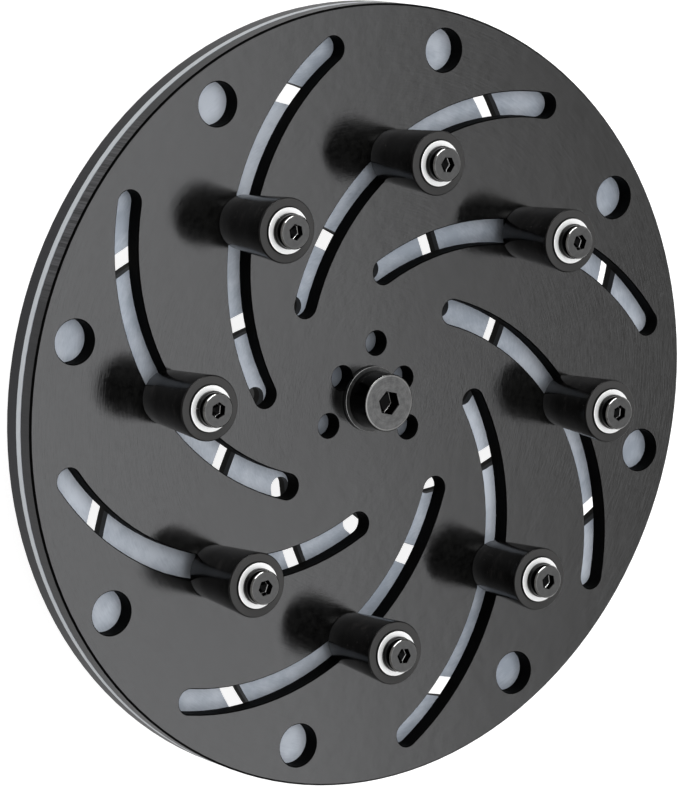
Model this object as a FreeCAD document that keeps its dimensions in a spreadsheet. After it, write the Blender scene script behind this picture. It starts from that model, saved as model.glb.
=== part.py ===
import FreeCAD, Part
import math
import os
import re
import Sketcher

# Longworth chuck: two slotted discs turning on one pivot, with eight buffers at the
# crossings of their slots. Units mm, +Z up along the spindle axis. The origin is the
# centre of the mounting hub's rear face, which the chuck lies on.

doc = FreeCAD.newDocument("longworth_chuck")
sheet = doc.addObject("Spreadsheet::Sheet", "Dims")

DIMS = [
    # discs
    ("disc_rad", 150.0),
    ("hub_high", 32.0),
    ("back_thk", 6.9),
    ("plate_thk", 2.95),
    ("front_thk", 6.9),
    ("rim_cut", 0.75),
    ("edge_cut", 0.4),
    # finger holes and slots: walls are left to the rim, slot_near is from the axis
    ("grip_in", 15.0),
    ("grip_rad", 8.25),
    ("slot_half", 4.85),
    ("rear_half", 4.0),
    ("slot_near", 48.6),
    ("front_wall", 10.25),
    ("rear_wall", 12.5),
    ("well_half", 9.3),
    ("well_deep", 3.45),
    ("arc_rad", 99.2),
    ("arc_off", 65.6),
    ("slot_tip_angle", 201.8289),
    # buffers on their ring, a little outside the middle of the slots
    ("peg_angle", 8.4),
    ("peg_play", 0.51),
    ("buf_rad", 12.2),
    ("buf_high", 30.0),
    ("buf_edge", 0.7),
    ("buf_sink", 0.8),
    ("cap_rad", 8.6),
    ("cap_thk", 1.6),
    ("spring_rad", 6.7),
    ("spring_thk", 1.5),
    ("head_rad", 6.4),
    ("head_high", 3.4),
    ("head_edge", 0.6),
    ("key_half", 2.55),
    ("key_deep", 2.2),
    ("shank_rad", 3.0),
    ("root_rad", 2.4),
    ("loose_gap", 0.2),
    ("snug_gap", 0.05),
    ("rear_rad", 7.5),
    ("rear_thk", 1.6),
    ("nut_half", 5.0),
    ("nut_high", 4.4),
    ("nut_neck", 4.5),
    ("nut_all", 6.4),
    ("tail_out", 1.5),
    # pivot
    ("piv_rad", 7.0),
    ("piv_tail", 6.0),
    ("piv_head", 11.0),
    ("piv_high", 10.5),
    ("piv_edge", 0.7),
    ("piv_key", 4.0),
    ("piv_deep", 5.0),
    ("flange_rad", 12.6),
    ("flange_thk", 1.5),
    ("pnut_half", 9.0),
    ("pnut_high", 6.6),
    # hub and its screws
    ("boss_rad", 25.0),
    ("boss_high", 24.0),
    ("hub_rad", 32.0),
    ("bore_rad", 14.75),
    ("bore_deep", 20.0),
    ("pocket_rad", 11.0),
    ("pocket_top", 27.0),
    ("hub_edge", 1.0),
    ("hs_wall", 10.7),
    ("view_rad", 4.6),
    ("view_ring", 21.3),
    ("pin_ring", 16.2),
    ("view_angle", 68.0),
    ("pin_angle", 127.7),
    ("pin_step_angle", 122.1),
    ("hs_head", 4.3),
    ("hs_high", 3.0),
    ("hs_sink", 3.4),
    ("hs_rad", 2.5),
    ("hs_long", 15.0),
    ("hs_key", 1.5),
    ("hs_deep", 1.8),
]
V = {}
for row, (alias, number) in enumerate(DIMS, start=1):
    sheet.set("A%d" % row, alias)
    sheet.set("B%d" % row, repr(number))
    sheet.setAlias("B%d" % row, alias)
    V[alias] = number
doc.recompute()

WORD = re.compile(r"[a-z][a-z0-9]*_[a-z0-9_]+")


def bound(text):
    """The sheet expression for a sum of dimensions, such as 'hub_high + back_thk'."""
    return WORD.sub(lambda m: "Dims." + m.group(0), text)


def value(text):
    """The number that such a sum gives now: terms split by + or -, each with factors."""
    total = 0.0
    for sign, term in re.findall(r"([+-]?)\s*([^+-]+)", text):
        part = 1.0
        for factor in term.split("*"):
            factor = factor.strip()
            part *= V[factor] if factor in V else float(factor)
        total += -part if sign == "-" else part
    return total


def plane(body, role):
    return [f for f in body.Origin.OriginFeatures if f.Role == role][0]


def new_body(node):
    body = doc.addObject("PartDesign::Body", node)
    body.Label = node
    return body


def new_sketch(body, name, role, lift=None):
    sketch = body.newObject("Sketcher::SketchObject", name)
    sketch.AttachmentSupport = [(plane(body, role), "")]
    sketch.MapMode = "FlatFace"
    if lift is not None:
        sketch.setExpression("AttachmentOffset.Base.z", bound(lift))
    return sketch


def fix_point(sketch, geo, pos, x_text, y_text):
    """Bind one sketch point to two sums of dimensions, or to an axis where one is 0."""
    for axis, text in ((0, x_text), (1, y_text)):
        number = value(text)
        if abs(number) < 1e-9:
            sketch.addConstraint(Sketcher.Constraint("PointOnObject", geo, pos, -2 + axis))
            continue
        kind = ("DistanceX", "DistanceY")[axis]
        at = sketch.addConstraint(Sketcher.Constraint(kind, -1, 1, geo, pos, number))
        sketch.setExpression("Constraints[%d]" % at, bound(text))


def outline(sketch, points):
    """A closed outline of straight lines through points given as pairs of sums."""
    first = sketch.GeometryCount
    where = [FreeCAD.Vector(value(x), value(y), 0) for x, y in points]
    count = len(points)
    for i in range(count):
        sketch.addGeometry(Part.LineSegment(where[i], where[(i + 1) % count]), False)
    for i in range(count):
        nxt = first + (i + 1) % count
        sketch.addConstraint(Sketcher.Constraint("Coincident", first + i, 2, nxt, 1))
    for i, (x, y) in enumerate(points):
        fix_point(sketch, first + i, 1, x, y)


def ring(sketch, x_text, y_text, rad_text):
    """A circle bound to the sheet."""
    centre = FreeCAD.Vector(value(x_text), value(y_text), 0)
    up = FreeCAD.Vector(0, 0, 1)
    geo = sketch.addGeometry(Part.Circle(centre, up, value(rad_text)), False)
    at = sketch.addConstraint(Sketcher.Constraint("Radius", geo, value(rad_text)))
    sketch.setExpression("Constraints[%d]" % at, bound(rad_text))
    fix_point(sketch, geo, 3, x_text, y_text)
    return geo


def polar_point(sketch, geo, ring_text, angle_text):
    """Bind a circle's centre to a radius and an angle of the sheet."""
    for kind, func in (("DistanceX", "cos"), ("DistanceY", "sin")):
        number = value(ring_text) * getattr(math, func)(math.radians(value(angle_text)))
        at = sketch.addConstraint(Sketcher.Constraint(kind, -1, 1, geo, 3, number))
        text = "(%s) * %s((%s) * 1 deg)" % (bound(ring_text), func, bound(angle_text))
        sketch.setExpression("Constraints[%d]" % at, text)


def polar_ring(sketch, ring_text, angle_text, rad_text):
    """A circle at a radius and an angle from the axis."""
    angle, reach = math.radians(value(angle_text)), value(ring_text)
    centre = FreeCAD.Vector(reach * math.cos(angle), reach * math.sin(angle), 0)
    up = FreeCAD.Vector(0, 0, 1)
    geo = sketch.addGeometry(Part.Circle(centre, up, value(rad_text)), False)
    at = sketch.addConstraint(Sketcher.Constraint("Radius", geo, value(rad_text)))
    sketch.setExpression("Constraints[%d]" % at, bound(rad_text))
    polar_point(sketch, geo, ring_text, angle_text)


def turned(body, points, name="Turned"):
    """Revolve an outline of (radius, height) pairs about the body's own Z axis."""
    sketch = new_sketch(body, name + "_outline", "XZ_Plane")
    outline(sketch, points)
    turn = body.newObject("PartDesign::Revolution", name)
    turn.Profile = sketch
    turn.ReferenceAxis = (sketch, ["V_Axis"])
    turn.Angle = 360.0
    body.Tip = turn
    return turn


def cut_down(body, sketch, depth, name, through=False):
    """Pocket a sketch downwards from its plane, and check that it cuts something."""
    doc.recompute()
    before = body.Shape.Volume
    cut = body.newObject("PartDesign::Pocket", name)
    cut.Profile = sketch
    if through:
        cut.Type = "ThroughAll"
        cut.Midplane = True
    else:
        cut.setExpression("Length", bound(depth))
    body.Tip = cut
    doc.recompute()
    if body.Shape.Volume > before - 1e-6:
        cut.Reversed = True
        doc.recompute()
    if body.Shape.Volume > before - 1e-6:
        raise RuntimeError("%s cuts nothing from %s" % (name, body.Label))
    return cut


def pattern(body, feature, count, name):
    """Repeat a cut around the axis."""
    doc.recompute()
    before = body.Shape.Volume
    many = body.newObject("PartDesign::PolarPattern", name)
    many.Originals = [feature]
    many.Axis = (plane(body, "Z_Axis"), [""])
    many.Angle = 360.0
    many.Occurrences = count
    body.Tip = many
    doc.recompute()
    if body.Shape.Volume > before - 1e-6:
        raise RuntimeError("%s repeats nothing in %s" % (name, body.Label))
    return many


def hexagon(sketch, half):
    """A hexagon of the given half width across its flats."""
    wide = "1.1547005 * " + half
    side = "0.5773503 * " + half
    outline(sketch, [(wide, "0"), (side, half), ("-" + side, half), ("-" + wide, "0"),
                     ("-" + side, "-" + half), (side, "-" + half)])


# Direction of the arc's centre from the axis, in degrees: the front slot's outer end lies
# at slot_tip_angle, midway between two finger holes, and the sides of the triangle from
# the axis to the arc's centre and to that end are known.
FAR = "(Dims.disc_rad - Dims.slot_half - Dims.front_wall)"
ARC_TURN = ("(Dims.slot_tip_angle - acos((Dims.arc_off ^ 2 + %s ^ 2 - Dims.arc_rad ^ 2)"
            " / (2 * Dims.arc_off * %s)) / (1 deg))" % (FAR, FAR))
far = value("disc_rad - slot_half - front_wall")
arc_turn = V["slot_tip_angle"] - math.degrees(math.acos(
    (V["arc_off"] ** 2 + far ** 2 - V["arc_rad"] ** 2) / (2 * V["arc_off"] * far)))


def arc_slot(sketch, side, half_name):
    """One arc slot with round ends. Its centre line has radius arc_rad about a point that
    is arc_off from the axis, and its ends lie at two distances from the axis. Side is -1
    for the front disc and +1 for the mirrored slots behind it, which end a little sooner,
    so that no finger hole opens into them. Half_name names its half width."""
    turn = arc_turn if side < 0 else 2 * V["peg_angle"] - arc_turn
    turn_text = ARC_TURN if side < 0 else "(2 * Dims.peg_angle - %s)" % ARC_TURN
    far_text = "disc_rad - " + ("slot_half - front_wall" if side < 0 else
                                "rear_half - rear_wall")
    rad, off, half = V["arc_rad"], V["arc_off"], V[half_name]
    a = math.radians(turn)
    centre = FreeCAD.Vector(off * math.cos(a), off * math.sin(a), 0)

    def end_angle(reach):
        """Direction, seen from the arc's centre, of the point that is reach from the axis."""
        return a + math.pi + side * math.acos(
            (off * off + rad * rad - reach * reach) / (2 * off * rad))

    def on_arc(angle):
        return centre + FreeCAD.Vector(rad * math.cos(angle), rad * math.sin(angle), 0)

    ends = [(end_angle(V["slot_near"]), "slot_near"), (end_angle(value(far_text)), far_text)]
    (low, low_text), (high, high_text) = sorted(ends)
    up = FreeCAD.Vector(0, 0, 1)
    g_out = sketch.addGeometry(
        Part.ArcOfCircle(Part.Circle(centre, up, rad + half), low, high), False)
    g_in = sketch.addGeometry(
        Part.ArcOfCircle(Part.Circle(centre, up, rad - half), low, high), False)
    g_high = sketch.addGeometry(
        Part.ArcOfCircle(Part.Circle(on_arc(high), up, half), high, high + math.pi), False)
    g_low = sketch.addGeometry(
        Part.ArcOfCircle(Part.Circle(on_arc(low), up, half), low + math.pi, low + 2 * math.pi),
        False)
    for kind, func in (("DistanceX", "cos"), ("DistanceY", "sin")):
        number = off * getattr(math, func)(a)
        at = sketch.addConstraint(Sketcher.Constraint(kind, -1, 1, g_out, 3, number))
        sketch.setExpression(
            "Constraints[%d]" % at, "Dims.arc_off * %s(%s * 1 deg)" % (func, turn_text))
    sketch.addConstraint(Sketcher.Constraint("Coincident", g_in, 3, g_out, 3))
    for geo, text, number in ((g_out, "arc_rad + " + half_name, rad + half),
                              (g_in, "arc_rad - " + half_name, rad - half)):
        at = sketch.addConstraint(Sketcher.Constraint("Radius", geo, number))
        sketch.setExpression("Constraints[%d]" % at, bound(text))
    sketch.addConstraint(Sketcher.Constraint("Tangent", g_out, 2, g_high, 1))
    sketch.addConstraint(Sketcher.Constraint("Tangent", g_high, 2, g_in, 2))
    sketch.addConstraint(Sketcher.Constraint("Tangent", g_in, 1, g_low, 1))
    sketch.addConstraint(Sketcher.Constraint("Tangent", g_low, 2, g_out, 1))
    for geo, text in ((g_high, high_text), (g_low, low_text)):
        at = sketch.addConstraint(
            Sketcher.Constraint("Distance", -1, 1, geo, 3, value(text)))
        sketch.setExpression("Constraints[%d]" % at, bound(text))


def break_edges(body, level, size, name, rim):
    """Chamfer the edges in one level plane: the disc's rim, or those of its holes."""
    doc.recompute()
    tip = body.Tip
    names = []
    for i, edge in enumerate(tip.Shape.Edges, start=1):
        box = edge.BoundBox
        if abs(box.ZMin - level) + abs(box.ZMax - level) < 1e-4:
            if (box.XLength > V["disc_rad"]) == rim:
                names.append("Edge%d" % i)
    cut = body.newObject("PartDesign::Chamfer", name)
    cut.Base = (tip, names)
    cut.setExpression("Size", bound(size))
    body.Tip = cut
    doc.recompute()
    return cut


# From the arc's centre line to the axis, along the line that the buffers stand on. The
# front slot and its mirror cross there, five eighths of a turn on from the arc's centre.
SLOT_TURN = "((225 + Dims.peg_angle - %s) * 1 deg)" % ARC_TURN
PEG_RING = ("(Dims.arc_off * cos(%s) + sqrt(Dims.arc_rad ^ 2 - (Dims.arc_off * sin(%s)) ^ 2)"
            " + Dims.peg_play)" % (SLOT_TURN, SLOT_TURN))


def ring_place(body, index):
    """Put a buffer's piece on the ring, on the radial line of buffer number index."""
    text = "(Dims.peg_angle + %d) * 1 deg" % (45 * (index - 1))
    body.setExpression("Placement.Base.x", "%s * cos(%s)" % (PEG_RING, text))
    body.setExpression("Placement.Base.y", "%s * sin(%s)" % (PEG_RING, text))
    body.setExpression("Placement.Rotation.Angle", text)
    body.Placement.Rotation = FreeCAD.Rotation(FreeCAD.Vector(0, 0, 1), 0)


WELL_TOP = "hub_high + well_deep"
BACK_TOP = "hub_high + back_thk"
PLATE_TOP = "hub_high + back_thk + plate_thk"
FACE = "hub_high + back_thk + plate_thk + front_thk"
VIEW_ANGLES = ("view_angle", "view_angle + 120", "view_angle + 240")
PIN_ANGLES = ("pin_angle", "pin_angle + pin_step_angle")

bodies = []


def disc(node, low, high, bore, side):
    """One disc: a turned blank with its centre bore and its eight arc slots."""
    body = new_body(node)
    bodies.append(body)
    turned(body, [(bore, low), ("disc_rad", low), ("disc_rad", high), (bore, high)], "Blank")
    slots = new_sketch(body, "Slot_line", "XY_Plane", high)
    arc_slot(slots, side, "slot_half" if side < 0 else "rear_half")
    first = cut_down(body, slots, None, "Slot", through=True)
    pattern(body, first, 8, "Slots")
    return body


# front disc, with the eight finger holes and the five holes by the pivot
front = disc("front_disc", PLATE_TOP, FACE, "piv_rad + snug_gap", -1)
grip = new_sketch(front, "Grip_circle", "XY_Plane", FACE)
ring(grip, "disc_rad - grip_in", "0", "grip_rad")
grip_cut = cut_down(front, grip, None, "Grip_hole", through=True)
pattern(front, grip_cut, 8, "Grip_holes")
views = new_sketch(front, "View_circles", "XY_Plane", FACE)
for angle in VIEW_ANGLES:
    polar_ring(views, "view_ring", angle, "view_rad")
for angle in PIN_ANGLES:
    polar_ring(views, "pin_ring", angle, "view_rad")
cut_down(front, views, None, "View_holes", through=True)
break_edges(front, value(FACE), "rim_cut", "Front_rim", True)
break_edges(front, value(FACE), "edge_cut", "Front_holes", False)
break_edges(front, value(PLATE_TOP), "edge_cut", "Rear_rim", True)

# slide plate between the discs, fixed to the back disc
slide = disc("slide_plate", BACK_TOP, PLATE_TOP, "piv_rad + snug_gap", 1)

# back disc, whose slots mirror the front disc's and widen behind into wells for the nuts,
# with the sunk seats of the hub screws
back = disc("back_disc", "hub_high", BACK_TOP, "piv_tail + snug_gap", 1)
wells = new_sketch(back, "Well_line", "XY_Plane", WELL_TOP)
arc_slot(wells, 1, "well_half")
well = cut_down(back, wells, "well_deep", "Well")
pattern(back, well, 8, "Wells")
seats = new_sketch(back, "Seat_circles", "XY_Plane", BACK_TOP)
for angle in VIEW_ANGLES:
    polar_ring(seats, "hub_rad - hs_wall", angle, "hs_head + loose_gap")
cut_down(back, seats, "hs_sink", "Screw_seats")
holes = new_sketch(back, "Screw_circles", "XY_Plane", BACK_TOP)
for angle in VIEW_ANGLES:
    polar_ring(holes, "hub_rad - hs_wall", angle, "hs_rad")
cut_down(back, holes, None, "Screw_holes", through=True)
break_edges(back, value("hub_high"), "edge_cut", "Back_rim", True)
break_edges(back, value("hub_high"), "edge_cut", "Back_holes", False)

# mounting hub with its threaded bore drawn at the thread's inner diameter
hub = new_body("mounting_hub")
bodies.append(hub)
turned(hub, [
    ("bore_rad + hub_edge", "0"),
    ("boss_rad - hub_edge", "0"),
    ("boss_rad", "hub_edge"),
    ("boss_rad", "boss_high"),
    ("hub_rad", "boss_high"),
    ("hub_rad", "hub_high"),
    ("piv_tail + snug_gap", "hub_high"),
    ("piv_tail + snug_gap", "pocket_top"),
    ("pocket_rad", "pocket_top"),
    ("pocket_rad", "bore_deep"),
    ("bore_rad", "bore_deep"),
    ("bore_rad", "hub_edge"),
], "Hub")
taps = new_sketch(hub, "Tap_circles", "XY_Plane", "hub_high")
for angle in VIEW_ANGLES:
    polar_ring(taps, "hub_rad - hs_wall", angle, "hs_rad")
cut_down(hub, taps, "hs_long", "Tap_holes")

# pivot: shoulder screw, thin washer under its head, thin nut inside the hub
FLANGE_TOP = FACE + " + flange_thk"
PIV_TOP = FLANGE_TOP + " + piv_high"
pivot = new_body("pivot_screw")
bodies.append(pivot)
turned(pivot, [
    ("0", "bore_deep"),
    ("piv_tail", "bore_deep"),
    ("piv_tail", BACK_TOP),
    ("piv_rad", BACK_TOP),
    ("piv_rad", FLANGE_TOP),
    ("piv_head", FLANGE_TOP),
    ("piv_head", PIV_TOP + " - piv_edge"),
    ("piv_head - piv_edge", PIV_TOP),
    ("0", PIV_TOP),
], "Pivot")
key = new_sketch(pivot, "Pivot_key", "XY_Plane", PIV_TOP)
hexagon(key, "piv_key")
cut_down(pivot, key, "piv_deep", "Pivot_socket")

washer = new_body("pivot_washer")
bodies.append(washer)
turned(washer, [
    ("piv_rad + snug_gap", FACE),
    ("flange_rad", FACE),
    ("flange_rad", FLANGE_TOP),
    ("piv_rad + snug_gap", FLANGE_TOP),
], "Washer")

nut = new_body("pivot_nut")
bodies.append(nut)
line = new_sketch(nut, "Nut_line", "XY_Plane", "pocket_top")
hexagon(line, "pnut_half")
ring(line, "0", "0", "piv_tail + snug_gap")
pad = nut.newObject("PartDesign::Pad", "Nut_block")
pad.Profile = line
pad.setExpression("Length", bound("pnut_high"))
pad.Reversed = True
nut.Tip = pad

# three low-head screws that hold the discs to the hub
for index in range(1, 4):
    screw = new_body("hub_screw_%d" % index)
    bodies.append(screw)
    seat = BACK_TOP + " - hs_sink"
    top = seat + " + hs_high"
    turned(screw, [
        ("0", seat + " - hs_long"),
        ("hs_rad", seat + " - hs_long"),
        ("hs_rad", seat),
        ("hs_head", seat),
        ("hs_head", top),
        ("0", top),
    ], "Hub_screw")
    key = new_sketch(screw, "Hub_key", "XY_Plane", top)
    hexagon(key, "hs_key")
    cut_down(screw, key, "hs_deep", "Hub_socket")
    text = "(Dims.view_angle + %d) * 1 deg" % (120 * (index - 1))
    screw.setExpression("Placement.Base.x", "(Dims.hub_rad - Dims.hs_wall) * cos(%s)" % text)
    screw.setExpression("Placement.Base.y", "(Dims.hub_rad - Dims.hs_wall) * sin(%s)" % text)

# the eight buffer sets
SINK = FACE + " + buf_high - buf_sink"
CAP_TOP = SINK + " + cap_thk"
HEAD_LOW = CAP_TOP + " + spring_thk"
HEAD_TOP = HEAD_LOW + " + head_high"
REAR_LOW = WELL_TOP + " - rear_thk"
TAIL = REAR_LOW + " - nut_all - tail_out"
for index in range(1, 9):
    piece = new_body("buffer_%d" % index)
    bodies.append(piece)
    turned(piece, [
        ("shank_rad + loose_gap", FACE),
        ("buf_rad", FACE),
        ("buf_rad", FACE + " + buf_high - buf_edge"),
        ("buf_rad - buf_edge", FACE + " + buf_high"),
        ("cap_rad + loose_gap", FACE + " + buf_high"),
        ("cap_rad + loose_gap", SINK),
        ("shank_rad + loose_gap", SINK),
    ], "Buffer")
    ring_place(piece, index)

    piece = new_body("cap_washer_%d" % index)
    bodies.append(piece)
    turned(piece, [
        ("shank_rad + loose_gap", SINK),
        ("cap_rad", SINK),
        ("cap_rad", CAP_TOP),
        ("shank_rad + loose_gap", CAP_TOP),
    ], "Cap")
    ring_place(piece, index)

    piece = new_body("spring_washer_%d" % index)
    bodies.append(piece)
    turned(piece, [
        ("shank_rad + snug_gap", CAP_TOP),
        ("spring_rad", CAP_TOP),
        ("spring_rad", HEAD_LOW),
        ("shank_rad + snug_gap", HEAD_LOW),
    ], "Spring")
    split = new_sketch(piece, "Split_line", "XY_Plane", HEAD_LOW)
    outline(split, [
        ("shank_rad - loose_gap", "-loose_gap - loose_gap"),
        ("spring_rad + loose_gap", "-loose_gap"),
        ("spring_rad + loose_gap", "loose_gap + loose_gap + loose_gap"),
        ("shank_rad - loose_gap", "loose_gap"),
    ])
    cut_down(piece, split, "spring_thk", "Split")
    ring_place(piece, index)

    piece = new_body("buffer_screw_%d" % index)
    bodies.append(piece)
    turned(piece, [
        ("0", TAIL),
        ("root_rad", TAIL),
        ("root_rad", FACE + " + buf_edge"),
        ("shank_rad", FACE + " + buf_edge"),
        ("shank_rad", HEAD_LOW),
        ("head_rad", HEAD_LOW),
        ("head_rad", HEAD_TOP + " - head_edge"),
        ("head_rad - head_edge", HEAD_TOP),
        ("0", HEAD_TOP),
    ], "Screw")
    key = new_sketch(piece, "Screw_key", "XY_Plane", HEAD_TOP)
    hexagon(key, "key_half")
    cut_down(piece, key, "key_deep", "Socket")
    ring_place(piece, index)

    piece = new_body("rear_washer_%d" % index)
    bodies.append(piece)
    turned(piece, [
        ("root_rad + snug_gap", REAR_LOW),
        ("rear_rad", REAR_LOW),
        ("rear_rad", WELL_TOP),
        ("root_rad + snug_gap", WELL_TOP),
    ], "Rear")
    ring_place(piece, index)

    piece = new_body("lock_nut_%d" % index)
    bodies.append(piece)
    line = new_sketch(piece, "Lock_line", "XY_Plane", REAR_LOW)
    hexagon(line, "nut_half")
    ring(line, "0", "0", "root_rad + snug_gap")
    pad = piece.newObject("PartDesign::Pad", "Lock_block")
    pad.Profile = line
    pad.setExpression("Length", bound("nut_high"))
    pad.Reversed = True
    neck = new_sketch(piece, "Neck_line", "XY_Plane", REAR_LOW + " - nut_high")
    ring(neck, "0", "0", "nut_neck")
    ring(neck, "0", "0", "root_rad + snug_gap")
    collar = piece.newObject("PartDesign::Pad", "Lock_collar")
    collar.Profile = neck
    collar.setExpression("Length", bound("nut_all - nut_high"))
    collar.Reversed = True
    piece.Tip = collar
    ring_place(piece, index)

doc.recompute()

for obj in doc.Objects:
    if "Invalid" in obj.State or "Error" in obj.State:
        raise RuntimeError("failed: %s %s" % (obj.Label, obj.State))

os.makedirs("parts", exist_ok=True)
for body in bodies:
    shape = body.Shape
    if shape.isNull() or not shape.isValid() or len(shape.Solids) != 1:
        raise RuntimeError("bad shape: %s (%d solids)" % (body.Label, len(shape.Solids)))
    box = shape.BoundBox
    print("%-18s vol %10.1f  z %7.2f..%7.2f" % (body.Label, shape.Volume, box.ZMin, box.ZMax))
    shape.exportStep("parts/%s.step" % body.Label)
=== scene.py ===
"""Longworth chuck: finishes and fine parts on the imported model, lit for the photograph's view."""
import math

import bpy
import numpy as np
from mathutils import Matrix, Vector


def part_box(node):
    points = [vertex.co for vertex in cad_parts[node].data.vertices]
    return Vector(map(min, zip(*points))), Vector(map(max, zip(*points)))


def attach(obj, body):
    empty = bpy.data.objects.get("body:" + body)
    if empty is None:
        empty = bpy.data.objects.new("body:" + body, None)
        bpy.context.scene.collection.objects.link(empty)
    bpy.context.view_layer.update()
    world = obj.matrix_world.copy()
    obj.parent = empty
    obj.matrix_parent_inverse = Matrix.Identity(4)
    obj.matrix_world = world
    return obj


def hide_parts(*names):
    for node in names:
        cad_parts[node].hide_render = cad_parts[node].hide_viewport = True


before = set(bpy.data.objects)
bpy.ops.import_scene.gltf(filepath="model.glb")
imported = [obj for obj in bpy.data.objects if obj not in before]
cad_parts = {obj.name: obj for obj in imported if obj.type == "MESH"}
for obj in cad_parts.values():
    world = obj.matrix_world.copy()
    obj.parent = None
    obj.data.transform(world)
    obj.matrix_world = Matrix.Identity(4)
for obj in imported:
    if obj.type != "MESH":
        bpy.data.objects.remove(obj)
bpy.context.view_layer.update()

MM = 0.001
TAU = 2.0 * math.pi


def ends(node):
    """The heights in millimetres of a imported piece's lower and upper ends."""
    low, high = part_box(node)
    return round(low[2] / MM, 2), round(high[2] / MM, 2)


def place_on_disc(node):
    """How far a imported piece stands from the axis, in millimetres, and its direction in degrees."""
    low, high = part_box(node)
    x, y = (low[0] + high[0]) / 2, (low[1] + high[1]) / 2
    return round(math.hypot(x, y) / MM, 1), round(math.degrees(math.atan2(y, x)), 1)


# Sizes in millimetres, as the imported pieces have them.
RIM = round(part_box("front_disc")[1][0] / MM, 1)
FACE = ends("front_disc")[1]
PLATE_BACK = ends("slide_plate")[0]
HUB_TOP = ends("mounting_hub")[1]
PEG_RING, PEG_DIR = place_on_disc("buffer_1")
BUFFER_TOP = ends("buffer_1")[1]
SINK = ends("cap_washer_1")[0]              # floor of the recess in a buffer's end
CAP_TOP, HEAD_LOW = ends("spring_washer_1")
SCREW_TIP, HEAD_TOP = ends("buffer_screw_1")
REAR_BACK, WELL = ends("rear_washer_1")     # WELL is the floor of the wells that they run in
LOCK_BACK, LOCK_TOP = ends("lock_nut_1")
PIVOT_TIP, PIVOT_TOP = ends("pivot_screw")
FLANGE_TOP = ends("pivot_washer")[1]
PIVOT_NUT_BACK, PIVOT_NUT_TOP = ends("pivot_nut")

GAP = 0.03            # hairline between a buffer or rear washer and the disc it slides on
STRIP = 0.1           # narrow strip that keeps a flat face flat beside its rounded edge
SETS = range(1, 9)
CHATTER_AT = (-0.34, -0.94)   # direction of the rim's marked stretch from the axis

# Zones that a row can carry, besides 0 and shares of 1. Each finish says what 1 is.
MARKED = 1.0
BLACK = -1.0          # keeps the black of the sides, as a screw's socket does
# The next zone paints a glint: pale metal on the edge of a socket's floor.
PAINTED_GLINT = 2.0         # the pale outline of a socket's floor


# Meshes

def put_mesh(name, verts, faces, skin, zones, sharp_over=35.0):
    """A mesh object from arrays in millimetres, smooth except at edges over so many degrees.

    skin holds one (u, v) pair and zones one number for each vertex."""
    mesh = bpy.data.meshes.new(name)
    mesh.from_pydata((np.asarray(verts) * MM).tolist(), [], faces)
    layer = mesh.uv_layers.new(name="skin")
    corner = np.empty(len(mesh.loops), dtype=np.int32)
    mesh.loops.foreach_get("vertex_index", corner)
    layer.data.foreach_set("uv", np.asarray(skin, dtype=np.float32)[corner].ravel())
    mark = mesh.attributes.new("zone", "FLOAT", "POINT")
    mark.data.foreach_set("value", np.asarray(zones, dtype=np.float32))
    mesh.shade_smooth()
    mesh.set_sharp_from_angle(angle=math.radians(sharp_over))
    obj = bpy.data.objects.new(name, mesh)
    bpy.context.scene.collection.objects.link(obj)
    return obj


def hex_factor(angle):
    """How far a hexagon's wall lies at an angle, over its half width across the flats:
    one over the cosine of the angle to the nearest flat's middle."""
    step = math.pi / 3
    return 1.0 / np.cos((angle + step / 2) % step - step / 2)


def row_points(row, angle):
    """One row's points at the given angles, or a single point where its radius is 0.

    A plain row is a circle. A hex row has the radius times one over the cosine of the angle
    to the nearest flat. A bevel row is such a hexagon whose corners fall back by the bevel's
    slope times what they pass the circle. A row of kind (depth, pitch) is one cut through a
    screw thread: its radius less the depth times a wave of height over pitch less the angle."""
    bevel_slope = 0.577
    flank, crest = 3.2, 0.25
    radius, height = row[:2]
    kind = row[2] if len(row) > 2 else "round"
    if radius == 0.0:
        return np.array([[0.0, 0.0, height]])
    far = np.full(len(angle), float(radius))
    high = np.full(len(angle), float(height))
    if isinstance(kind, tuple):
        depth, pitch = kind
        wave = (height / pitch - angle / TAU) % 1.0
        far = radius - depth * np.clip(flank * np.abs(wave - 0.5) - crest, 0.0, 1.0)
    elif kind != "round":
        far = radius * hex_factor(angle)
    if kind == "bevel_up":
        high = height - bevel_slope * (far - radius)
    if kind == "bevel_down":
        high = height + bevel_slope * (far - radius)
    return np.stack([far * np.cos(angle), far * np.sin(angle), high], 1)


def band_faces(low_start, low_size, high_start, high_size):
    """The faces between two rows of points: quads, or triangles where one row is a point."""
    near = np.arange(max(low_size, high_size))
    following = (near + 1) % len(near)
    if low_size == 1:
        corners = [np.full(len(near), low_start), high_start + following, high_start + near]
    elif high_size == 1:
        corners = [low_start + near, low_start + following, np.full(len(near), high_start)]
    else:
        corners = [low_start + near, low_start + following,
                   high_start + following, high_start + near]
    return np.stack(corners, 1).tolist()


def ring_grid(rows, turns=96, closed=False):
    """Rows carried once round the Z axis, from the lowest outwards and up.

    Each row is (radius, height), then its kind and its zone where they aren't plain. The
    skin's u runs round the axis and its v is the length along the section. Closed joins the
    last row to the first."""
    angle = np.arange(turns) / turns * TAU
    verts, skin, zones, starts = [], [], [], [0]
    run = 0.0
    for i, row in enumerate(rows):
        ring = row_points(row, angle)
        if i > 0:
            run += math.hypot(row[0] - rows[i - 1][0], row[1] - rows[i - 1][1])
        around = angle / TAU if len(ring) > 1 else np.array([0.5])
        verts.append(ring)
        skin.append(np.stack([around, np.full(len(ring), run)], 1))
        zones.append(np.full(len(ring), float(row[3]) if len(row) > 3 else 0.0))
        starts.append(starts[-1] + len(ring))
    faces = []
    for a in range(len(rows) if closed else len(rows) - 1):
        b = (a + 1) % len(rows)
        faces += band_faces(starts[a], len(verts[a]), starts[b], len(verts[b]))
    return np.concatenate(verts), faces, np.concatenate(skin), np.concatenate(zones)


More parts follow.
